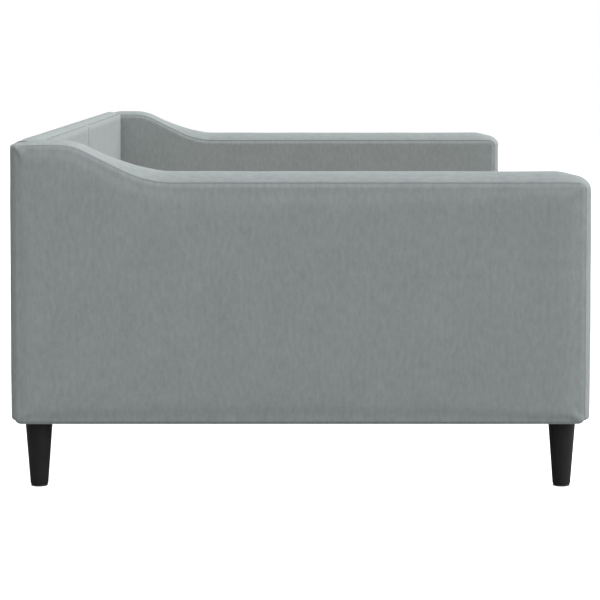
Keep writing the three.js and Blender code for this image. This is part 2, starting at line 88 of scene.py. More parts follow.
# Sewing and filling.
SEAM_OUT = 10 * MM  # an arm's seams stand this far out from the backs of its panels
LEAN = 11 * MM  # how far a panel's wall leans in behind its seam
SEAM_STEP = 0.3 * MM  # how deep the thread pulls the cloth in
STRIP_DEPTH = 10 * MM  # foam under a strip's seams
PUCKER = 0.3 * MM
PUCKER_PITCH = 13 * MM
PUCKER_REACH = 9 * MM  # how far a strip's puckers run in from its seams
UNEVEN = 0.9 * MM  # slow unevenness of the filling over a panel
UNEVEN_PITCH = 160 * MM
UNEVEN_START, UNEVEN_FULL = 10 * MM, 120 * MM  # in from the seam
STRIP_UNEVEN, STRIP_UNEVEN_PITCH = 0.5 * MM, 90 * MM
BELLY_REACH = 140 * MM  # the swell of a panel's middle is full this far in
FRAMES = 20  # length of the cloth simulation
PRESSURE = 4.0
STRETCH_STIFFNESS, SHEAR_STIFFNESS, BENDING_STIFFNESS = 25, 12, 1.5


# ---------------------------------------------------------------- mesh helpers
def new_piece(name, verts, faces, material, uvs=None, body=BODY, smooth=True):
    """A mesh object that rides on a body; uvs is one (across, along) pair of metres per vertex."""
    mesh = bpy.data.meshes.new(name)
    mesh.from_pydata([tuple(v) for v in verts], [], [tuple(int(i) for i in f) for f in faces])
    if uvs is not None:
        layer = mesh.uv_layers.new(name="cloth")
        loops = np.empty(len(mesh.loops), dtype=np.int32)
        mesh.loops.foreach_get("vertex_index", loops)
        layer.data.foreach_set("uv", np.asarray(uvs, dtype=np.float32)[loops].ravel())
    mesh.polygons.foreach_set("use_smooth", [smooth] * len(mesh.polygons))
    mesh.update()
    piece = bpy.data.objects.new(name, mesh)
    bpy.context.collection.objects.link(piece)
    piece.data.materials.append(material)
    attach(piece, body)
    return piece


def mirrored(piece, name):
    """The same piece on the other side of the middle of the length."""
    mesh = piece.data.copy()
    mesh.name = name
    mesh.transform(Matrix.Scale(-1, 4, (1, 0, 0)))
    mesh.flip_normals()
    twin = bpy.data.objects.new(name, mesh)
    bpy.context.collection.objects.link(twin)
    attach(twin, BODY)
    return twin


def subdivided(piece, levels=1):
    modifier = piece.modifiers.new("smooth", "SUBSURF")
    modifier.levels = levels
    modifier.render_levels = levels
    return piece


def grid_faces(rows, columns, first=0, closed=False, flip=False):
    """Quads over a grid of rows by columns of vertices, joined round when it is closed."""
    faces = []
    for i in range(rows - 1):
        for j in range(columns if closed else columns - 1):
            k = (j + 1) % columns
            a, b = first + i * columns + j, first + i * columns + k
            c, d = a + columns, b + columns
            faces.append((a, c, d, b) if flip else (a, b, d, c))
    return faces


def graded(start, end, step):
    """Positions from start to end, close together at both ends where the cloth rolls over."""
    near = np.array([0, 0.7, 1.6, 3, 5, 7.5, 10.5, 14, 18, 23, 29, 36, 44]) * MM
    inside = end - start - 2 * near[-1]
    count = max(2, int(round(inside / step)))
    middle = np.linspace(start + near[-1], end - near[-1], count + 1)[1:-1]
    return np.concatenate([start + near, middle, (end - near)[::-1]])


def ripple(points, size, seed):
    """Smooth noise from -1 to 1 at each 3-D point, with bumps of about the given size."""
    offset = Vector((seed * 3.7, seed * 1.3, seed * 7.1))
    return np.array([noise.noise(Vector(p) / size + offset) for p in points])


def distance_to(points, outline):
    """Shortest distance from each 2-D point to a closed outline."""
    a, b = outline, np.roll(outline, -1, axis=0)
    edge = b - a
    length2 = np.maximum((edge**2).sum(1), 1e-18)
    best = np.full(len(points), 1e9)
    for start in range(0, len(points), 2000):
        p = points[start : start + 2000, None, :]
        t = np.clip(((p - a) * edge).sum(2) / length2, 0, 1)
        gap = p - (a + t[..., None] * edge)
        best[start : start + 2000] = np.sqrt((gap**2).sum(2)).min(1)
    return best


# ---------------------------------------------------------------- outlines
STRAIGHT = 1e-6  # a corner that turns less than this angle is none


def rounded_outline(corners, step):
    """A closed outline through [across, up, radius] corners with round corners as arcs."""
    points = []
    count = len(corners)
    for i, (a, b, radius) in enumerate(corners):
        here = np.array([a, b])
        back = np.array(corners[i - 1][:2]) - here
        ahead = np.array(corners[(i + 1) % count][:2]) - here
        back, ahead = back / np.linalg.norm(back), ahead / np.linalg.norm(ahead)
        half_turn = (math.pi - math.acos(float(back @ ahead))) / 2
        if radius == 0 or half_turn < STRAIGHT:
            points.append(here)
            continue
        tangent = radius * math.tan(half_turn)
        bisector = (back + ahead) / np.linalg.norm(back + ahead)
        centre = here + bisector * radius / math.cos(half_turn)
        arc = radius * 2 * half_turn
        steps = max(5, int(math.ceil(arc / min(step, radius / 3))))
        first, last = here + back * tangent - centre, here + ahead * tangent - centre
        turn = math.atan2(first[0] * last[1] - first[1] * last[0], float(first @ last))
        for k in range(steps + 1):
            angle = turn * k / steps
            c, s = math.cos(angle), math.sin(angle)
            turned_to = np.array([c * first[0] - s * first[1], s * first[0] + c * first[1]])
            points.append(centre + turned_to)
    return resampled(np.array(points), step)


def resampled(points, step):
    """The closed outline with its long straight stretches cut into steps."""
    out = []
    for p, q in zip(points, np.roll(points, -1, axis=0)):
        cuts = max(1, int(round(np.linalg.norm(q - p) / step)))
        out.extend(p + (q - p) * k / cuts for k in range(cuts))
    return np.array(out)


def outward_normals(points, closed=True):
    """Unit normals to the right of an outline's direction of travel."""
    if closed:
        tangent = np.roll(points, -1, axis=0) - np.roll(points, 1, axis=0)
    else:
        tangent = np.gradient(points, axis=0)
    tangent /= np.linalg.norm(tangent, axis=1)[:, None]
    return np.stack([tangent[:, 1], -tangent[:, 0]], axis=1)


def smooth_step(x, low, high):
    t = np.clip((x - low) / (high - low), 0, 1)
    return t * t * (3 - 2 * t)


pad_low, pad_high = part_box("left_arm_outer_pad")
inner_low, inner_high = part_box("left_arm_inner_pad")
FRONT_SEAM, REAR_SEAM = inner_low.y, inner_high.y + SEAM_SPREAD
PANEL_BOTTOM, BACK_SEAM_HEIGHT = inner_low.z, inner_high.z + SEAM_LIFT
SLOPE_TOP_Y = inner_high.y - SLOPE_TOP
SLOPE_FOOT_Y = SLOPE_TOP_Y - SLOPE_RUN
SLOPE_MIDDLE = (SLOPE_TOP_Y + SLOPE_FOOT_Y) / 2
CROWN_START, CROWN_RUN = SLOPE_TOP_Y - 18 * MM, 140 * MM  # where the arm's strip grows fuller
DIP_RUN = 55 * MM  # length of the dip to the front corner
SLOPE_DIP_WIDTH = 55 * MM
REAR_DIP_RUN = 45 * MM
OUTER_SEAM_X, INNER_SEAM_X = pad_high.x, inner_low.x
STRIP_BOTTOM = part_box("left_arm_edge_strip")[0].z


def arm_corners(bottom, inset=0.0):
    """Corners of an arm's side panel, anticlockwise in (y, z), starting at the front underside."""
    angle = math.atan2(BACK_SEAM_HEIGHT - ARM_SEAM_HEIGHT, SLOPE_RUN)
    shift = inset * math.tan(angle / 2)
    front, rear = FRONT_SEAM + inset, REAR_SEAM - inset
    lower = max(LOWER_CORNER - inset, MM)
    return [
        (front, bottom + inset, lower),
        (rear, bottom + inset, lower),
        (rear, BACK_SEAM_HEIGHT - inset, REAR_CORNER),
        (SLOPE_TOP_Y + shift, BACK_SEAM_HEIGHT - inset, SLOPE_TOP_RADIUS),
        (SLOPE_FOOT_Y + shift, ARM_SEAM_HEIGHT - inset, SLOPE_FOOT_RADIUS),
        (front, ARM_SEAM_HEIGHT - inset, FRONT_CORNER),
    ]


# ---------------------------------------------------------------- sewn panels
EDGE_BAND = 44 * MM  # rows and columns follow the outline this far in
EDGE_BLEND = 60 * MM
SAME = 0.01 * MM  # points nearer than this lie on one line


def rim(points, pick):
    """Points ordered from left to right, with one point, picked by height, at each upright end."""
    left, right = points[:, 0].min(), points[:, 0].max()
    at_left, at_right = points[:, 0] < left + SAME, points[:, 0] > right - SAME
    inner = points[~at_left & ~at_right]
    ends = [side[pick(side[:, 1])] for side in (points[at_left], points[at_right])]
    return np.vstack([ends[0], inner[np.argsort(inner[:, 0])], ends[1]])


def panel_grid(outline, step):
    """Rows and columns of (across, up) points that fill an outline and follow its edges."""
    columns = graded(outline[:, 0].min(), outline[:, 0].max(), step)
    middle = (outline[:, 1].min() + outline[:, 1].max()) / 2
    upper = rim(outline[outline[:, 1] > middle], np.argmax)
    lower = rim(outline[outline[:, 1] <= middle], np.argmin)
    high = np.interp(columns, upper[:, 0], upper[:, 1])[None, :]
    low = np.interp(columns, lower[:, 0], lower[:, 1])[None, :]
    tall = graded(lower[:, 1].min(), upper[:, 1].max(), step)
    below, above = (tall - tall[0])[:, None], (tall[-1] - tall)[:, None]
    even = low + below / (tall[-1] - tall[0]) * (high - low)
    low_share = 1 - smooth_step(below, EDGE_BAND, EDGE_BAND + EDGE_BLEND)
    high_share = 1 - smooth_step(above, EDGE_BAND, EDGE_BAND + EDGE_BLEND)
    followed = (low + below) * low_share + (high - above) * high_share
    up = even * (1 - low_share) * (1 - high_share) + followed
    across = np.broadcast_to(columns[None, :], up.shape)
    return np.stack([across, up], axis=2)


def border_ring(rows, columns):
    """The outer points of a grid in order, all the way round."""
    ring = list(range(columns)) + [i * columns + columns - 1 for i in range(1, rows)]
    ring += [(rows - 1) * columns + j for j in range(columns - 2, -1, -1)]
    return ring + [i * columns for i in range(rows - 2, 0, -1)]


def sewn_panel(name, corners, place, thickness, roll, crown,
               seam=SEAM_STEP, plump=0.5, step=10 * MM, seed=1):
    """A foam panel with cloth over it, sewn in all round. place(across, up, out) gives the point that
    far out from the panel's back; roll is how far in from its edge the cloth has rolled over, a number
    or a function of the points; seam is how far out the seam lies, crown the swell in the middle, and
    plump, from 0 to 1, how steeply the cloth leaves the seam."""
    outline = rounded_outline(corners, 4 * MM)
    grid = panel_grid(outline, step)
    rows, columns = grid.shape[:2]
    flat = grid.reshape(-1, 2)
    ring = border_ring(rows, columns)
    depth = distance_to(flat, outline)
    depth[ring] = 0
    reach = roll(flat) if callable(roll) else roll
    inward = np.clip(depth / reach, 0, 1)
    curve = 1 - (1 - inward) ** 2
    rise = plump * np.sqrt(curve) + (1 - plump) * curve
    out = seam + (thickness - crown - seam) * rise + crown * smooth_step(depth, 0, BELLY_REACH)
    solid = np.column_stack([flat, np.zeros(len(flat))])
    out += PUCKER * np.exp(-depth / PUCKER_PITCH) * ripple(solid, PUCKER_PITCH, seed) * inward
    inside = smooth_step(depth, UNEVEN_START, UNEVEN_FULL)
    out += UNEVEN * ripple(solid, UNEVEN_PITCH, seed + 5) * inside
    back = flat.copy()
    back[ring] -= LEAN * outward_normals(flat[ring])
    verts = [place(p[0], p[1], height) for p, height in zip(flat, out)]
    verts += [place(p[0], p[1], 0.0) for p in back]
    total = rows * columns
    faces = grid_faces(rows, columns) + grid_faces(rows, columns, first=total, flip=True)
    faces += [(q, q + total, p + total, p) for p, q in zip(ring, ring[1:] + ring[:1])]
    piece = new_piece(name, verts, faces, CLOTH, np.vstack([flat, back]))
    make_outward(piece)
    sewn_down(piece, ring + list(range(total, 2 * total)))
    return piece


# ---------------------------------------------------------------- sewn strips
# Shares of the way across a strip, close together at its seams.
ACROSS = np.array([0, 0.02, 0.05, 0.1, 0.17, 0.26, 0.37, 0.5, 0.63, 0.74, 0.83, 0.9, 0.95, 0.98, 1])


def sewn_strip(name, path, normals, side, crown, place, depth=STRIP_DEPTH, lean=0.0, seed=1):
    """A padded strip between two seams, following a path. path and normals are 2-D; side is the
    strip's two edges across; crown is its swell at each point; its sides lean in by lean over its
    depth. place(across, point) gives the place of a point on the path."""
    low, high = side
    rise = 1 - (2 * ACROSS - 1) ** 2
    across = low + GAP + (high - low - 2 * GAP) * ACROSS
    along = np.concatenate([[0], np.cumsum(np.linalg.norm(np.diff(path, axis=0), axis=1))])
    verts, uvs = [], []
    for point, normal, swell, way in zip(path, normals, crown, along):
        for share, s in zip(rise, across):
            spot = Vector((s, point[0], point[1]))
            edge = math.exp(-min(s - low, high - s) / PUCKER_REACH)
            pucker = noise.noise(spot / PUCKER_PITCH + Vector((seed, 0, 0)))
            uneven = noise.noise(spot / STRIP_UNEVEN_PITCH + Vector((0, seed, 0)))
            height = share * swell - (SEAM_STEP if share == 0 else 0)
            height += PUCKER * edge * pucker * (share > 0)
            height += STRIP_UNEVEN * uneven * share
            verts.append(place(s, point + normal * height))
            uvs.append((s, way))
        for s in (high - lean, low + lean):
            verts.append(place(s, point - normal * depth))
            uvs.append((s, way))
    count, columns = len(path), len(ACROSS) + 2
    faces = grid_faces(count, columns, closed=True) + end_faces(count, columns)
    piece = new_piece(name, verts, faces, CLOTH, uvs)
    make_outward(piece)
    fixed = [0, *range(len(ACROSS) - 1, columns)]
    held = [i * columns + j for i in range(count) for j in fixed]
    sewn_down(piece, held + end_points(count, columns))
    return piece


def end_faces(count, columns):
    """The two faces that close the ends of a tube of count rings."""
    return [tuple(range(columns)), tuple(range((count - 1) * columns, count * columns))[::-1]]


def end_points(count, columns):
    """The points of the first and the last ring of a tube."""
    return list(range(columns)) + list(range((count - 1) * columns, count * columns))


def make_outward(piece):
    """Turns a closed piece's faces to point out."""
    mesh = piece.data
    points = positions(mesh)
    volume = 0.0
    for face in mesh.polygons:
        ids = face.vertices
        for k in range(1, len(ids) - 1):
            volume += float(np.dot(points[ids[0]], np.cross(points[ids[k]], points[ids[k + 1]])))
    if volume < 0:
        mesh.flip_normals()


# ---------------------------------------------------------------- cloth over foam
def sewn_down(piece, points):
    """Marks the points that stay where they are while the cloth swells."""
    piece.vertex_groups.new(name="sewn").add([int(i) for i in points], 1.0, "REPLACE")


def positions(mesh):
    flat = np.empty(len(mesh.vertices) * 3)
    mesh.vertices.foreach_get("co", flat)
    return flat.reshape(-1, 3)


def swell(caps):
    """Blows each piece's cloth out between its seams. No point moves further than the piece's cap."""
    scene = bpy.context.scene
    for piece in caps:
        cloth = piece.modifiers.new("swell", "CLOTH")
        cloth.point_cache.frame_start, cloth.point_cache.frame_end = 1, FRAMES
        cloth.collision_settings.use_collision = False
        settings = cloth.settings
        settings.quality = 5
        settings.tension_stiffness = settings.compression_stiffness = STRETCH_STIFFNESS
        settings.shear_stiffness = SHEAR_STIFFNESS
        settings.bending_stiffness = BENDING_STIFFNESS
        settings.use_pressure = True
        settings.uniform_pressure_force = PRESSURE
        settings.vertex_group_mass = "sewn"
        settings.effector_weights.gravity = 0
    for frame_number in range(1, FRAMES + 1):
        scene.frame_set(frame_number)
    graph = bpy.context.evaluated_depsgraph_get()
    swollen = {piece: positions(piece.evaluated_get(graph).data) for piece in caps}
    for piece, cap in caps.items():
        rest = positions(piece.data)
        move = swollen[piece] - rest
        far = np.maximum(np.linalg.norm(move, axis=1), 1e-9)
        share = cap * np.tanh(far / cap) / far
        piece.modifiers.clear()
        piece.data.vertices.foreach_set("co", (rest + move * share[:, None]).ravel())
        piece.data.update()
    scene.frame_set(1)


# ---------------------------------------------------------------- node helpers
def math_node(tree, operation, a, b=None, clamp=False):
    node = tree.nodes.new("ShaderNodeMath")
    node.operation = operation
    node.use_clamp = clamp
    for socket, value in zip(node.inputs, (a, b)):
        if value is None:
            continue
        if isinstance(value, (int, float)):
            socket.default_value = value
        else:
            tree.links.new(value, socket)
    return node.outputs[0]


def remap(tree, value, from_low, from_high, to_low, to_high):
    node = tree.nodes.new("ShaderNodeMapRange")
    tree.links.new(value, node.inputs["Value"])
    for key, number in zip(("From Min", "From Max", "To Min", "To Max"),
                           (from_low, from_high, to_low, to_high)):
        node.inputs[key].default_value = number
    return node.outputs["Result"]


def mix_color(tree, factor, a, b, blend="MIX"):
    node = tree.nodes.new("ShaderNodeMix")
    node.data_type = "RGBA"
    node.blend_type = blend
    for index, value in ((0, factor), (6, a), (7, b)):
        socket = node.inputs[index]
        if isinstance(value, (int, float, tuple)):
            socket.default_value = value
        else:
            tree.links.new(value, socket)
    return node.outputs[2]


def stretched(tree, vector, scale):
    node = tree.nodes.new("ShaderNodeMapping")
    tree.links.new(vector, node.inputs["Vector"])
    node.inputs["Scale"].default_value = scale
    return node.outputs["Vector"]


def noise_value(tree, vector, scale, detail=2.0, roughness=0.5):
    node = tree.nodes.new("ShaderNodeTexNoise")
    tree.links.new(vector, node.inputs["Vector"])
    node.inputs["Scale"].default_value = scale
    node.inputs["Detail"].default_value = detail
    node.inputs["Roughness"].default_value = roughness
    return node.outputs["Fac"]


def group(name, inputs, outputs):
    tree = bpy.data.node_groups.new(name, "ShaderNodeTree")
    for label, kind, value in inputs:
        socket = tree.interface.new_socket(label, in_out="INPUT", socket_type=kind)
        if value is not None:
            socket.default_value = value
    for label, kind in outputs:
        tree.interface.new_socket(label, in_out="OUTPUT", socket_type=kind)
    return tree, tree.nodes.new("NodeGroupInput"), tree.nodes.new("NodeGroupOutput")


def use_group(tree, source, **values):
    node = tree.nodes.new("ShaderNodeGroup")
    node.node_tree = source
    for key, value in values.items():
        node.inputs[key.replace("_", " ")].default_value = value
    return node


# ---------------------------------------------------------------- shared effects
# How many times per metre each part of the weave varies, across and along the warp.
FINE_YARN, SLUB_YARN, WEFT_FLECK, SOFT_CLOUD = (620, 120, 1), (125, 46, 1), (90, 520, 1), (16, 10, 1)
YARN_PITCH = 1.1 * MM


def heather_weave():
    """Plain weave of heathered yarns: thick and thin streaks along the warp, specks from the weft."""
    tree, given, result = group(
        "heather_weave",
        [("Vector", "NodeSocketVector", None), ("Dark Yarn", "NodeSocketColor", (0, 0, 0, 1)),
         ("Light Yarn", "NodeSocketColor", (1, 1, 1, 1)), ("Streaks", "NodeSocketFloat", 1.0)],
        [("Color", "NodeSocketColor"), ("Height", "NodeSocketFloat"), ("Roughness", "NodeSocketFloat")])
    vector = given.outputs["Vector"]
    fine = noise_value(tree, stretched(tree, vector, FINE_YARN), 1.0, 2.0)
    slub = noise_value(tree, stretched(tree, vector, SLUB_YARN), 1.0, 3.0, 0.5)
    cross = noise_value(tree, stretched(tree, vector, WEFT_FLECK), 1.0, 2.0)
    cloud = noise_value(tree, stretched(tree, vector, SOFT_CLOUD), 1.0, 2.0)

    separate = tree.nodes.new("ShaderNodeSeparateXYZ")
    tree.links.new(vector, separate.inputs[0])
    pitch = 2 * math.pi / YARN_PITCH
    offset = remap(tree, noise_value(tree, vector, 300.0, 1.0), 0, 1, -1.2, 1.2)
    warp = math_node(tree, "SINE", math_node(
        tree, "ADD", math_node(tree, "MULTIPLY", separate.outputs["X"], pitch), offset))
    weft = math_node(tree, "SINE", math_node(
        tree, "ADD", math_node(tree, "MULTIPLY", separate.outputs["Y"], pitch), offset))
    weave = math_node(tree, "MULTIPLY", warp, weft)

    blend = remap(tree, slub, 0.3, 0.7, -0.4, 0.4)
    for part, share in ((fine, 0.22), (cross, 0.14), (cloud, 0.16)):
        blend = math_node(tree, "ADD", blend, remap(tree, part, 0.3, 0.7, -share, share))
    # The weave's relief also sets the colour here: painted shade darkens the hollows between the yarns.
    blend = math_node(tree, "ADD", blend, math_node(tree, "MULTIPLY", weave, 0.14))
    blend = math_node(tree, "MULTIPLY", blend, given.outputs["Streaks"])
    share = math_node(tree, "ADD", blend, 0.5, clamp=True)
    color = mix_color(tree, share, given.outputs["Dark Yarn"], given.outputs["Light Yarn"])
    tree.links.new(color, result.inputs["Color"])
    height = math_node(tree, "ADD", math_node(tree, "MULTIPLY", weave, 0.35),
                       remap(tree, slub, 0.3, 0.7, -0.3, 0.3))
    tree.links.new(height, result.inputs["Height"])
    tree.links.new(remap(tree, slub, 0.3, 0.7, 0.98, 0.9), result.inputs["Roughness"])
    return tree


RING_BEND, RING_FIBRE, RING_PATCH = (9, 1.4, 9), (700, 18, 700), (6, 1.2, 6)  # per metre
RING_DENSITY, RING_WANDER = 620.0, 38.0  # radians per metre, and how far the lines bend


def timber_grain():
    """Straight softwood grain along Y, with growth lines, pores and a few darker patches."""
    tree, given, result = group(
        "timber_grain",
        [("Vector", "NodeSocketVector", None), ("Early Wood", "NodeSocketColor", (1, 1, 1, 1)),
         ("Late Wood", "NodeSocketColor", (0, 0, 0, 1))],
        [("Color", "NodeSocketColor"), ("Height", "NodeSocketFloat"), ("Roughness", "NodeSocketFloat")])
    vector = given.outputs["Vector"]
    bend = noise_value(tree, stretched(tree, vector, RING_BEND), 1.0, 2.0)
    separate = tree.nodes.new("ShaderNodeSeparateXYZ")
    tree.links.new(vector, separate.inputs[0])
    across = math_node(tree, "ADD", separate.outputs["X"],
                       math_node(tree, "MULTIPLY", separate.outputs["Z"], 0.6))
    phase = math_node(tree, "ADD", math_node(tree, "MULTIPLY", across, RING_DENSITY),
                      math_node(tree, "MULTIPLY", bend, RING_WANDER))
    lines = remap(tree, math_node(tree, "SINE", phase), -1, 1, 0, 1)
    lines = math_node(tree, "POWER", lines, 2.2)
    fibre = noise_value(tree, stretched(tree, vector, RING_FIBRE), 1.0, 3.0, 0.65)
    patch = noise_value(tree, stretched(tree, vector, RING_PATCH), 1.0, 2.0)
    share = math_node(tree, "ADD", math_node(tree, "MULTIPLY", lines, 0.55),
                      remap(tree, fibre, 0.3, 0.7, -0.2, 0.25))
    share = math_node(tree, "ADD", share, remap(tree, patch, 0.35, 0.65, -0.12, 0.2), clamp=True)
    color = mix_color(tree, share, given.outputs["Early Wood"], given.outputs["Late Wood"])
    tree.links.new(color, result.inputs["Color"])
    tree.links.new(math_node(tree, "ADD", math_node(tree, "MULTIPLY", lines, 0.4), fibre),
                   result.inputs["Height"])
    tree.links.new(remap(tree, share, 0, 1, 0.62, 0.5), result.inputs["Roughness"])
    return tree


def fine_grain():
    """Small irregular mottle for plastics, plating and lacquer."""
    tree, given, result = group(
        "fine_grain",
        [("Vector", "NodeSocketVector", None), ("Scale", "NodeSocketFloat", 900.0),
         ("Base", "NodeSocketColor", (0.5, 0.5, 0.5, 1)), ("Spread", "NodeSocketFloat", 0.1),
         ("Roughness", "NodeSocketFloat", 0.5)],
        [("Color", "NodeSocketColor"), ("Height", "NodeSocketFloat"), ("Roughness", "NodeSocketFloat")])
    fine = tree.nodes.new("ShaderNodeTexNoise")
    tree.links.new(given.outputs["Vector"], fine.inputs["Vector"])
    tree.links.new(given.outputs["Scale"], fine.inputs["Scale"])
    fine.inputs["Detail"].default_value = 3.0
    broad = noise_value(tree, given.outputs["Vector"], 35.0, 3.0)
    tone = math_node(tree, "MULTIPLY", remap(tree, broad, 0.3, 0.7, -1, 1), given.outputs["Spread"])
    scale = math_node(tree, "ADD", tone, 1.0)
    node = tree.nodes.new("ShaderNodeVectorMath")
    node.operation = "SCALE"
    tree.links.new(given.outputs["Base"], node.inputs[0])
    tree.links.new(scale, node.inputs["Scale"])
    tree.links.new(node.outputs[0], result.inputs["Color"])
    tree.links.new(fine.outputs["Fac"], result.inputs["Height"])
    rough = math_node(tree, "ADD", given.outputs["Roughness"],
                      math_node(tree, "MULTIPLY", remap(tree, broad, 0.3, 0.7, -1, 1), 0.06))
    tree.links.new(rough, result.inputs["Roughness"])
    return tree


WEAVE, TIMBER, FINE = heather_weave(), timber_grain(), fine_grain()


# ---------------------------------------------------------------- materials
def shader_material(name, source, bump, distance, **values):
    """A material whose colour, roughness and bump come from one of the shared effects."""
    material = bpy.data.materials.new(name)
    material.use_nodes = True
    tree = material.node_tree
    shader = tree.nodes["Principled BSDF"]
    effect = use_group(tree, source, **values)
    relief = tree.nodes.new("ShaderNodeBump")
    relief.inputs["Strength"].default_value = bump
    relief.inputs["Distance"].default_value = distance
    tree.links.new(effect.outputs["Color"], shader.inputs["Base Color"])
    tree.links.new(effect.outputs["Roughness"], shader.inputs["Roughness"])
    tree.links.new(effect.outputs["Height"], relief.inputs["Height"])
    tree.links.new(relief.outputs["Normal"], shader.inputs["Normal"])
    return material, shader, effect


def along_cloth(material, effect):
    tree = material.node_tree
    source = tree.nodes.new("ShaderNodeUVMap")
    source.uv_map = "cloth"
    tree.links.new(source.outputs["UV"], effect.inputs["Vector"])


def along_object(material, effect, turn=(0, 0, 0)):
    tree = material.node_tree
    source = tree.nodes.new("ShaderNodeTexCoord")
    mapping = tree.nodes.new("ShaderNodeMapping")
    mapping.inputs["Rotation"].default_value = turn
    tree.links.new(source.outputs["Object"], mapping.inputs["Vector"])
    tree.links.new(mapping.outputs["Vector"], effect.inputs["Vector"])


def upholstery_material():
    material, shader, effect = shader_material(
        "grey_upholstery", WEAVE, 0.3, 0.25 * MM,
        Dark_Yarn=(0.232, 0.256, 0.257, 1), Light_Yarn=(0.298, 0.328, 0.329, 1), Streaks=0.68)
    along_cloth(material, effect)
    shader.inputs["Sheen Weight"].default_value = 0.05
    shader.inputs["Sheen Roughness"].default_value = 0.5
    shader.inputs["Specular IOR Level"].default_value = 0.1
    return material


def timber_material(name, early, late, turn):
    material, shader, effect = shader_material(
        name, TIMBER, 0.25, 0.3 * MM, Early_Wood=early, Late_Wood=late)
    along_object(material, effect, turn)
    shader.inputs["Specular IOR Level"].default_value = 0.3
    return material


def grained_material(name, base, spread, scale, roughness, metallic=0.0, gloss=0.5, bump=0.15):
    material, shader, effect = shader_material(
        name, FINE, bump, 0.1 * MM, Base=base, Spread=spread, Scale=scale, Roughness=roughness)
    along_object(material, effect)
    shader.inputs["Metallic"].default_value = metallic
    shader.inputs["Specular IOR Level"].default_value = gloss
    return material


QUARTER = math.pi / 2
CLOTH = upholstery_material()
PINE_EARLY, PINE_LATE = (0.4, 0.32, 0.225, 1), (0.3, 0.22, 0.14, 1)
PINE_CROSSWISE = timber_material("pine_across", PINE_EARLY, PINE_LATE, (0, 0, 0))
PINE_LENGTHWISE = timber_material("pine_along", PINE_EARLY, PINE_LATE, (0, 0, QUARTER))
PINE_UPRIGHT = timber_material("pine_upright", PINE_EARLY, PINE_LATE, (QUARTER, 0, 0))
LACQUER = grained_material("black_lacquer", (0.012, 0.012, 0.012, 1), 0.15, 420, 0.55, gloss=0.25)
PLASTIC = grained_material("black_plastic", (0.022, 0.022, 0.024, 1), 0.12, 1400, 0.55)
ZINC = grained_material("zinc_plating", (0.55, 0.56, 0.58, 1), 0.12, 700, 0.34, metallic=1.0)
DUST_CLOTH = grained_material("dust_cloth", (0.018, 0.018, 0.019, 1), 0.25, 2600, 0.95, bump=0.5)


# ---------------------------------------------------------------- arms
TIGHT_ROLL, SOFT_ROLL = 5 * MM, 10 * MM
TIGHT_UP_TO, SOFT_FROM = 6 * MM, 30 * MM  # in from the underside and the rear seam
ARM_PLUMP = 0.12
OUTER_BELLY, INNER_BELLY = 1.2 * MM, 0.5 * MM
STRIP_TUCK = 30 * MM  # how far the strip runs in under each end of the arm
REAR_FOOT_ROUNDING, FRONT_FOOT_ROUNDING = 2 * MM, 9 * MM  # lower ends of the strip
DOWNWARD = -0.995  # a strip that faces down more than this lies under the arm
FOOT_RISE = 0.12


def arm_roll(points):
    """The cloth rolls over softly at the top and the front, tightly underneath and at the rear."""
    inside = np.minimum(points[:, 1] - PANEL_BOTTOM, REAR_SEAM - points[:, 0])
    return TIGHT_ROLL + (SOFT_ROLL - TIGHT_ROLL) * smooth_step(inside, TIGHT_UP_TO, SOFT_FROM)


def arm_panel(name, seam_x, face_x, belly, seed):
    """A side panel of the left arm, from the plane of its back out to its face."""
    way = math.copysign(1, face_x - seam_x)
    return sewn_panel(
        name, arm_corners(PANEL_BOTTOM), lambda a, b, out: (seam_x + way * out, a, b),
        thickness=abs(face_x - seam_x), roll=arm_roll, crown=belly, seam=SEAM_OUT,
        plump=ARM_PLUMP, seed=seed)


def arm_strip_path():
    """From under the rear, up and over the arm to under the front."""
    outline = rounded_outline(arm_corners(STRIP_BOTTOM), 7 * MM)
    under = outline[:, 1] < STRIP_BOTTOM + 0.1 * MM
    keep = ~under | (np.abs(outline[:, 0]) > REAR_SEAM - LOWER_CORNER - STRIP_TUCK)
    starts = [i for i in range(len(outline)) if keep[i] and not keep[i - 1]]
    first = next(i for i in starts if outline[i, 0] > 0)
    order = [(first + k) % len(outline) for k in range(len(outline))]
    return np.array([outline[i] for i in order if keep[i]])


def squared_foot(path, normals, crown):
    """Carries the rear strip straight down to a square end and the front strip to a rounded one."""
    y, z = path[:, 0], path[:, 1]
    level = z - PANEL_BOTTOM
    low = (level < LOWER_CORNER) & (normals[:, 1] > DOWNWARD)
    rounding = np.where(y > 0, REAR_FOOT_ROUNDING, FRONT_FOOT_ROUNDING)
    short = np.clip((rounding - level) / rounding, 0, 1)
    edge = np.where(y > 0, REAR_SEAM + REAR_CROWN, -FRONT_SEAM + FRONT_CROWN)
    reach = edge - rounding * (1 - np.sqrt(1 - short**2)) - np.abs(y)
    sideways = np.column_stack([np.sign(y), FOOT_RISE * (1 - level / LOWER_CORNER)])
    turned_normals = np.where(low[:, None], sideways, normals)
    under = normals[:, 1] <= DOWNWARD
    return turned_normals, np.where(low, reach, np.where(under, 0, crown))


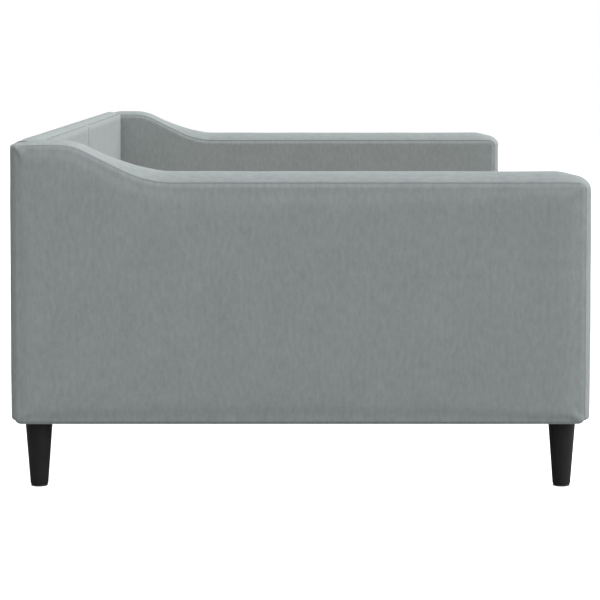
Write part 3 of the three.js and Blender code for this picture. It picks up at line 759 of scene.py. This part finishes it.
def arm_strip():
    path = arm_strip_path()
    normals = outward_normals(path, closed=False)
    y, z = path[:, 0], path[:, 1]
    height = (z - PANEL_BOTTOM) / (ARM_SEAM_HEIGHT - PANEL_BOTTOM)
    ends = np.where(y > 0, REAR_CROWN, FRONT_CROWN)
    ends = ends + MID_SWELL * np.sin(math.pi * np.clip(height, 0, 1))
    down = smooth_step(CROWN_START - y, 0, CROWN_RUN)
    tops = CORNER_CROWN + (ARM_CROWN - CORNER_CROWN) * down
    tops -= SLOPE_DIP * np.exp(-(((y - SLOPE_MIDDLE) / SLOPE_DIP_WIDTH) ** 2))
    tops -= REAR_DIP * smooth_step(y, REAR_SEAM - REAR_DIP_RUN, REAR_SEAM - REAR_CORNER)
    tops -= (ARM_CROWN - ARM_END_CROWN) * smooth_step(FRONT_SEAM + DIP_RUN - y, 0, DIP_RUN)
    up_facing = smooth_step(normals[:, 1], 0.2, 0.8)
    crown = ends * (1 - up_facing) + tops * up_facing
    at_rear_top = (y > 0) * (z > ARM_SEAM_HEIGHT)
    crown *= 1 + CORNER_FILL * (2 * normals[:, 0] * normals[:, 1]) ** 2 * at_rear_top
    normals, crown = squared_foot(path, normals, crown)
    return sewn_strip(
        "left_arm_boxing", path, normals, (OUTER_SEAM_X - SEAM_OUT, INNER_SEAM_X + SEAM_OUT), crown,
        lambda s, p: (s, p[0], p[1]), lean=SEAM_OUT, seed=2)


# ---------------------------------------------------------------- backrest
back_low, back_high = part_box("left_back_pad")
rear_low, rear_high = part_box("left_back_rear_panel")
BACK_PAD_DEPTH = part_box("left_back_frame")[0].y - GAP - back_low.y
BACK_FULL = 4 * MM  # the cushions stand proud of the frame's pads
BACK_SETBACK = 14 * MM  # face of the backrest to the seam along its top edge
BACK_TOP_SEAM = inner_high.z + 5 * MM
BACK_CROWN = inner_high.z + 11 * MM - BACK_TOP_SEAM
CENTRE_ROLL = 5 * MM  # the halves meet in a tight seam
ARM_LAP = 4 * MM  # the rear cover and the top strip are tucked this far in against the arm
EDGE_ROLL = 16 * MM
BACK_BELLY, REAR_COVER_BELLY = 5 * MM, 0.5 * MM
REAR_COVER_ROLL, REAR_COVER_CORNER = 4 * MM, 3 * MM
TOP_STRIP_POINTS = 110
CENTRE_PULL, CENTRE_PULL_REACH = 4 * MM, 6 * MM  # the middle seam pulls the top strip down
ARM_PULL, ARM_PULL_REACH = 5 * MM, 22 * MM  # and so does the tuck at the arm
TOP_STRIP_DEPTH = 2 * MM


def back_roll(points):
    ends = np.minimum(back_high.x - points[:, 0], points[:, 0] - back_low.x)
    return CENTRE_ROLL + (EDGE_ROLL - CENTRE_ROLL) * smooth_step(ends, 8 * MM, 30 * MM)


def back_face():
    y = back_low.y + BACK_PAD_DEPTH
    corners = [(back_low.x, back_low.z, 4 * MM), (back_high.x, back_low.z, 4 * MM),
               (back_high.x, BACK_TOP_SEAM, 8 * MM), (back_low.x, BACK_TOP_SEAM, 3 * MM)]
    return sewn_panel(
        "left_back_cushion_face", corners, lambda a, b, out: (a, y - out, b),
        thickness=BACK_PAD_DEPTH + BACK_FULL, roll=back_roll, crown=BACK_BELLY,
        seam=BACK_PAD_DEPTH + BACK_FULL - BACK_SETBACK, step=12 * MM, seed=14)


def back_top_strip():
    x = np.linspace(back_low.x - ARM_LAP, back_high.x, TOP_STRIP_POINTS)
    path = np.column_stack([x, np.full(TOP_STRIP_POINTS, BACK_TOP_SEAM)])
    normals = np.tile(np.array([0.0, 1.0]), (TOP_STRIP_POINTS, 1))
    crown = BACK_CROWN - CENTRE_PULL * np.exp(-np.abs(x - back_high.x) / CENTRE_PULL_REACH)
    crown -= ARM_PULL * np.exp(-(((x - x[0]) / ARM_PULL_REACH) ** 2))
    return sewn_strip(
        "left_back_boxing", path, normals, (back_low.y - BACK_FULL + BACK_SETBACK, rear_low.y), crown,
        lambda s, p: (p[0], s, p[1]), depth=TOP_STRIP_DEPTH, seed=21)


def back_rear_cover():
    arm_end = rear_low.x - ARM_LAP
    corners = [(x, z, REAR_COVER_CORNER) for x, z in (
        (arm_end, rear_low.z), (rear_high.x, rear_low.z),
        (rear_high.x, BACK_TOP_SEAM), (arm_end, BACK_TOP_SEAM))]
    y = rear_low.y
    return sewn_panel(
        "left_back_rear_cover", corners, lambda a, b, out: (a, y + out, b),
        thickness=rear_high.y - rear_low.y, roll=REAR_COVER_ROLL, crown=REAR_COVER_BELLY,
        step=14 * MM, seed=31)


# ---------------------------------------------------------------- front rail
RAIL_WAVE = 0.7 * MM
RAIL_WAVE_ALONG, RAIL_WAVE_ROUND = 0.15, 0.1
RAIL_END_PULL, RAIL_END_REACH = 3 * MM, 5 * MM  # the cloth is drawn in at both ends
RAIL_SHRINK = 0.5 * MM  # leaves the cloth room to swell


def front_rail():
    """Cloth and foam over the front, top and inside of the rail's board."""
    low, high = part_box("front_rail_cover")
    board_low, board_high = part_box("front_rail_board")
    front, rear, top = board_low.y - GAP, board_high.y + GAP, board_high.z + GAP
    corners = [
        (low.y, low.z, 5 * MM), (front, low.z, 2 * MM), (front, top, 1 * MM), (rear, top, 1 * MM),
        (rear, back_low.z, 1 * MM), (high.y, back_low.z, 2 * MM), (high.y, high.z, 12 * MM),
        (low.y, high.z, 16 * MM)]
    section = rounded_outline(corners, 7 * MM)
    normals = outward_normals(section)
    on_board = (section[:, 0] > front - GAP) & (section[:, 0] < rear + GAP)
    on_board &= section[:, 1] < top + GAP
    round_way = np.concatenate([[0], np.cumsum(np.linalg.norm(np.diff(section, axis=0), axis=1))])
    lengthwise = graded(low.x, high.x, 14 * MM)
    verts, uvs = [], []
    for x in lengthwise:
        end = math.exp(-min(x - low.x, high.x - x) / RAIL_END_REACH)
        for point, normal, fixed, way in zip(section, normals, on_board, round_way):
            wave = RAIL_WAVE * noise.noise(Vector((
                x / RAIL_WAVE_ALONG, point[0] / RAIL_WAVE_ROUND, point[1] / RAIL_WAVE_ROUND)))
            sunk = 0 if fixed else wave * (1 - end) - RAIL_END_PULL * end - RAIL_SHRINK
            verts.append((x, *(point + normal * sunk)))
            uvs.append((x, way))
    count, columns = len(lengthwise), len(section)
    faces = grid_faces(count, columns, closed=True) + end_faces(count, columns)
    piece = new_piece("front_rail_upholstery", verts, faces, CLOTH, uvs)
    make_outward(piece)
    held = [i * columns + j for i in range(count) for j in range(columns) if on_board[j]]
    sewn_down(piece, held + end_points(count, columns))
    return piece


# ---------------------------------------------------------------- upholstery
# Each piece of the left half with the frame node it stands for, its fill and how far it may swell.
FIRM, SOFT = 0.9, 0.8
HALF = [
    (arm_panel("left_arm_side_panel", OUTER_SEAM_X, pad_low.x, OUTER_BELLY, 3),
     "arm_outer_pad", FIRM, 2.0 * MM),
    (arm_strip(), "arm_edge_strip", FIRM, 1.2 * MM),
    (arm_panel("left_arm_inside_panel", INNER_SEAM_X, inner_high.x, INNER_BELLY, 9),
     "arm_inner_pad", FIRM, 2.0 * MM),
    (back_face(), "back_pad", SOFT, 4.0 * MM),
    (back_top_strip(), "back_pad", SOFT, 1.0 * MM),
    (back_rear_cover(), "back_rear_panel", SOFT, 2.5 * MM),
]
rail = front_rail()
RAIL_CAP = 2.5 * MM


def upholster(piece, node):
    piece.vertex_groups.clear()
    subdivided(piece)
    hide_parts(node)


swell({**{piece: cap for piece, _, _, cap in HALF}, rail: RAIL_CAP})
for piece, node, fill, _ in HALF:
    upholster(mirrored(piece, piece.name.replace("left", "right")), "right_" + node)
    upholster(piece, "left_" + node)
upholster(rail, "front_rail_cover")


# ---------------------------------------------------------------- turned pieces
def centre_of(node_name):
    low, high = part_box(node_name)
    return (low + high) / 2


def turned(name, rings, node, material, centre, sides=64, body=BODY, axis="Z"):
    """A turned piece. rings run from one end to the other, each (height, radius), where radius is a
    number or a function of the angle; axis is the way that height runs, and centre a point on it."""
    angles = 2 * math.pi * np.arange(sides) / sides
    verts = []
    for height, radius in rings:
        radii = radius(angles) if callable(radius) else np.full(sides, radius)
        for angle, r in zip(angles, radii):
            a, b = r * math.cos(angle), r * math.sin(angle)
            verts.append({"Z": (centre[0] + a, centre[1] + b, height),
                          "X": (height, centre[1] + a, centre[2] + b),
                          "Y": (centre[0] + a, height, centre[2] + b)}[axis])
    faces = grid_faces(len(rings), sides, closed=True)
    faces.append(tuple(range(sides))[::-1])
    faces.append(tuple(range((len(rings) - 1) * sides, len(rings) * sides)))
    piece = new_piece(name, verts, faces, material, body=body)
    make_outward(piece)
    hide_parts(node)
    return piece


def hexagon(angles, across_flats):
    """Radii of a hexagon."""
    return across_flats / 2 / np.cos(np.mod(angles, math.pi / 3) - math.pi / 6)


FOOT_RADIUS = 17.5 * MM  # of a leg
EASE = 1.2 * MM
DOWEL_RADIUS = 4 * MM
CLOSED = 0.2 * MM  # radius of the small flat in the middle of a turned end


def leg(row, side):
    node = f"{row}_{side}_leg"
    low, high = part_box(node)
    top, top_radius = PANEL_BOTTOM - GAP, (high.x - low.x) / 2
    rings = [(low.z, CLOSED), (low.z, FOOT_RADIUS - 2 * EASE),
             (low.z + 0.3 * EASE, FOOT_RADIUS - 0.4 * EASE), (low.z + EASE, FOOT_RADIUS)]
    for share in np.linspace(0.04, 0.97, 12):
        rings.append((low.z + (top - low.z) * share, FOOT_RADIUS + (top_radius - FOOT_RADIUS) * share))
    rings += [(top - 0.8 * MM, top_radius), (top - 0.2 * MM, top_radius - 0.3 * MM),
              (top, top_radius - MM), (top, DOWEL_RADIUS),
              (high.z - MM, DOWEL_RADIUS), (high.z, DOWEL_RADIUS - 0.8 * MM)]
    turned(f"{row}_{side}_turned_leg", rings, node=node, material=LACQUER,
           centre=centre_of(node))


def leg_glide(row, side):
    node = f"{row}_{side}_glide"
    low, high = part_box(node)
    radius = (high.x - low.x) / 2
    rings = [(low.z, CLOSED), (low.z, radius - 1.6 * MM), (low.z + 0.3 * MM, radius - 0.6 * MM),
             (low.z + EASE, radius), (high.z - 0.5 * MM, radius), (high.z, radius - 0.5 * MM),
             (high.z, CLOSED)]
    turned(f"{row}_{side}_leg_glide", rings, node=node, material=PLASTIC,
           centre=centre_of(node))


RINGS_PER_TURN = 6  # of a thread
THREAD_DEPTH = 0.7 * MM


def thread(core, depth, pitch, height):
    """Radius of a screw thread at a height, as a function of the angle."""
    def radius(angles):
        turn = np.mod(height / pitch - angles / (2 * math.pi), 1)
        return core + depth * (1 - np.abs(2 * turn - 1))
    return radius


def threaded(core, depth, pitch, low, high):
    """Rings of a thread between two heights."""
    count = max(2, int(math.ceil((high - low) / pitch * RINGS_PER_TURN)))
    return [(h, thread(core, depth, pitch, h)) for h in np.linspace(low, high, count)]


HEAD_RADIUS, HEAD_HEIGHT = 9 * MM, 5 * MM
SOCKET = 5 * MM  # across the flats of a bolt's hexagon socket
SOCKET_DEPTH = 3 * MM
BOLT_RADIUS, BOLT_PITCH, BOLT_PLAIN = 4 * MM, 1.25 * MM, 8 * MM


def socket_bolt(name, node, axis, out):
    """A button-head bolt; out is the way its head faces along the axis, 1 or -1."""
    low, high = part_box(node)
    index = "XYZ".index(axis)
    outer, tip = (high[index], low[index]) if out > 0 else (low[index], high[index])
    seat = outer - out * HEAD_HEIGHT
    socket = lambda angles: hexagon(angles, SOCKET)
    chamfer = lambda angles: hexagon(angles, SOCKET + 0.8 * MM)
    rings = [(outer - out * SOCKET_DEPTH, CLOSED), (outer - out * SOCKET_DEPTH, socket),
             (outer - out * 0.4 * MM, socket), (outer, chamfer)]
    for angle in np.linspace(0.5, QUARTER, 6):
        drop = out * (HEAD_HEIGHT - EASE) * (1 - math.cos(angle))
        rings.append((outer - drop, HEAD_RADIUS * math.sin(angle)))
    rings += [(seat + out * 0.2 * MM, HEAD_RADIUS), (seat, HEAD_RADIUS - 0.2 * MM), (seat, BOLT_RADIUS)]
    plain = seat - out * BOLT_PLAIN
    rings.append((plain, BOLT_RADIUS))
    count = int(abs(tip - plain) / BOLT_PITCH * RINGS_PER_TURN)
    for height in np.linspace(plain, tip + out * MM, count):
        rings.append((height, thread(BOLT_RADIUS - THREAD_DEPTH, THREAD_DEPTH, BOLT_PITCH, height)))
    rings.append((tip, BOLT_RADIUS - 1.2 * MM))
    turned(name, rings, sides=36, node=node, material=ZINC,
           axis=axis, centre=centre_of(node))


def levelling_stem():
    low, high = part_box("levelling_stem")
    radius = (high.x - low.x) / 2
    head_top, core = low.z + 4 * MM, 3.3 * MM
    rings = [(low.z, CLOSED), (low.z, radius - 0.5 * MM), (low.z + 0.5 * MM, radius),
             (head_top - 0.5 * MM, radius), (head_top, radius - 0.5 * MM), (head_top, core)]
    rings += threaded(core, THREAD_DEPTH, BOLT_PITCH, head_top + 0.2 * MM, high.z - MM)
    rings += [(high.z, 2.8 * MM), (high.z, CLOSED)]
    turned("levelling_screw", rings, sides=40, body="foot_stem", node="levelling_stem", material=ZINC,
           centre=centre_of("levelling_stem"))


def levelling_pad():
    """Moulded foot with finger ribs round its rim and a socket for the screw's head."""
    low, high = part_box("levelling_pad")
    radius = (high.x - low.x) / 2
    plain, rim_top = radius - MM, low.z + 6 * MM
    neck, mouth = 13.4 * MM, 4.6 * MM  # radii of the raised middle and of the hole through it
    room, room_floor, room_top = 6.5 * MM, low.z + 4 * MM, low.z + 8.6 * MM  # round the screw's head
    ribs = lambda angles: radius - 0.5 * MM * (1 - np.cos(angles * 30))
    rings = [(low.z, CLOSED), (low.z, plain - MM), (low.z + 0.4 * MM, plain), (low.z + MM, ribs),
             (rim_top - 0.6 * MM, ribs), (rim_top, plain - 0.4 * MM), (high.z - 0.6 * MM, neck),
             (high.z, neck - 0.8 * MM), (high.z, mouth + 0.4 * MM), (high.z - 0.4 * MM, mouth),
             (room_top, mouth), (room_top, room), (room_floor, room), (room_floor, CLOSED)]
    turned("levelling_foot", rings, sides=180, body="foot_pad", node="levelling_pad", material=PLASTIC,
           centre=centre_of("levelling_pad"))


for side in ("left", "right"):
    inward = 1 if side == "left" else -1
    for row in ("front", "rear"):
        leg(row, side)
        leg_glide(row, side)
        socket_bolt(f"{row}_{side}_bracket_screw", f"{row}_{side}_bracket_bolt", "X", inward)
    socket_bolt(f"{side}_back_plate_screw", f"{side}_back_plate_bolt", "Y", -1)
levelling_stem()
levelling_pad()


# ---------------------------------------------------------------- carried-over pieces
def dress(node_name, material, edge=0.8 * MM, segments=2):
    """Gives a frame node its finish and eases its edges."""
    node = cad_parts[node_name]
    node.data.materials.clear()
    node.data.materials.append(material)
    bevel = node.modifiers.new("eased edges", "BEVEL")
    bevel.width = edge
    bevel.segments = segments
    bevel.limit_method = "ANGLE"
    bevel.angle_limit = math.radians(40)


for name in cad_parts:
    if name.startswith("slat_"):
        dress(name, PINE_CROSSWISE, 2.5 * MM, 3)
    elif name in ("centre_beam", "front_ledger", "rear_ledger", "front_rail_board"):
        dress(name, PINE_LENGTHWISE, 1.5 * MM)
    elif name.endswith("arm_frame"):
        dress(name, PINE_CROSSWISE, 1 * MM, 1)
    elif name.endswith("back_frame"):
        dress(name, PINE_LENGTHWISE, 1 * MM, 1)
    elif name == "centre_leg":
        dress(name, PINE_UPRIGHT, 2 * MM)
    elif name.endswith("dust_cover"):
        dress(name, DUST_CLOTH, 0.5 * MM)
    elif name.endswith(("hanger", "bracket", "plate", "insert")):
        dress(name, ZINC, 0.5 * MM)


# ---------------------------------------------------------------- studio
FLOOR_HALF = 15.0
FLOOR_SEEN = 0.72  # glow that keeps the floor pale in the picture
FLOOR_PALE, FLOOR_CARD = (0.9, 0.9, 0.9, 1), (0.3, 0.3, 0.3, 1)  # where seen, and for the light
# Strength of the light all round, and what comes on top of it from above, the front and the left.
SKY_BASE, SKY_TOP, SKY_FRONT, SKY_LEFT = 0.02, 1.52, 2.36, 0.08


def studio_floor():
    """Pale where it is seen, and a darker card for the light that it throws back."""
    mesh = bpy.data.meshes.new("studio_floor")
    edge = FLOOR_HALF
    corners = [(-edge, -edge, 0), (edge, -edge, 0), (edge, edge, 0), (-edge, edge, 0)]
    mesh.from_pydata(corners, [], [(0, 1, 2, 3)])
    floor = bpy.data.objects.new("studio_floor", mesh)
    bpy.context.collection.objects.link(floor)
    material = bpy.data.materials.new("pale_floor")
    material.use_nodes = True
    tree = material.node_tree
    shader = tree.nodes["Principled BSDF"]
    seen = tree.nodes.new("ShaderNodeLightPath").outputs["Is Camera Ray"]
    shader.inputs["Roughness"].default_value = 0.9
    shader.inputs["Specular IOR Level"].default_value = 0.1
    shader.inputs["Emission Color"].default_value = (1, 1, 1, 1)
    tree.links.new(mix_color(tree, seen, FLOOR_CARD, FLOOR_PALE), shader.inputs["Base Color"])
    tree.links.new(math_node(tree, "MULTIPLY", seen, FLOOR_SEEN), shader.inputs["Emission Strength"])
    floor.data.materials.append(material)


def studio_light():
    """Soft light all round: strongest from the front, weakest from behind; white where seen."""
    scene = bpy.context.scene
    scene.world = scene.world or bpy.data.worlds.new("studio")
    scene.world.use_nodes = True
    tree = scene.world.node_tree
    background = tree.nodes["Background"]
    direction = tree.nodes.new("ShaderNodeSeparateXYZ")
    tree.links.new(tree.nodes.new("ShaderNodeTexCoord").outputs["Generated"], direction.inputs[0])
    strength = SKY_BASE
    for socket, sign, share in (("Z", 1, SKY_TOP), ("Y", -1, SKY_FRONT), ("X", -1, SKY_LEFT)):
        facing = math_node(tree, "MULTIPLY", direction.outputs[socket], float(sign))
        facing = math_node(tree, "MAXIMUM", facing, 0.0)
        strength = math_node(tree, "ADD", math_node(tree, "MULTIPLY", facing, share), strength)
    seen = tree.nodes.new("ShaderNodeLightPath").outputs["Is Camera Ray"]
    strength = math_node(tree, "MAXIMUM", strength, seen)
    background.inputs["Color"].default_value = (1, 1, 1, 1)
    tree.links.new(strength, background.inputs["Strength"])
    scene.view_settings.view_transform = "Standard"


VIEW_BACK, VIEW_SIDE, VIEW_HEIGHT = 4.441, 0.0008, 0.8619  # back is from the left end
VIEW_PITCH = math.radians(3.246)
LENS, SENSOR, SHIFT_UP = 137.02, 36, -0.2


def camera():
    """Level with the arm's end, looking along the length, a little above the daybed."""
    data = bpy.data.cameras.new("view")
    data.sensor_width = SENSOR
    data.lens = LENS
    data.shift_y = SHIFT_UP
    data.clip_end = 100
    view = bpy.data.objects.new("view", data)
    view.location = (cad_box[0].x - VIEW_BACK, VIEW_SIDE, VIEW_HEIGHT)
    view.rotation_euler = (QUARTER - VIEW_PITCH, 0, -QUARTER)
    bpy.context.collection.objects.link(view)
    bpy.context.scene.camera = view


studio_floor()
studio_light()
camera()
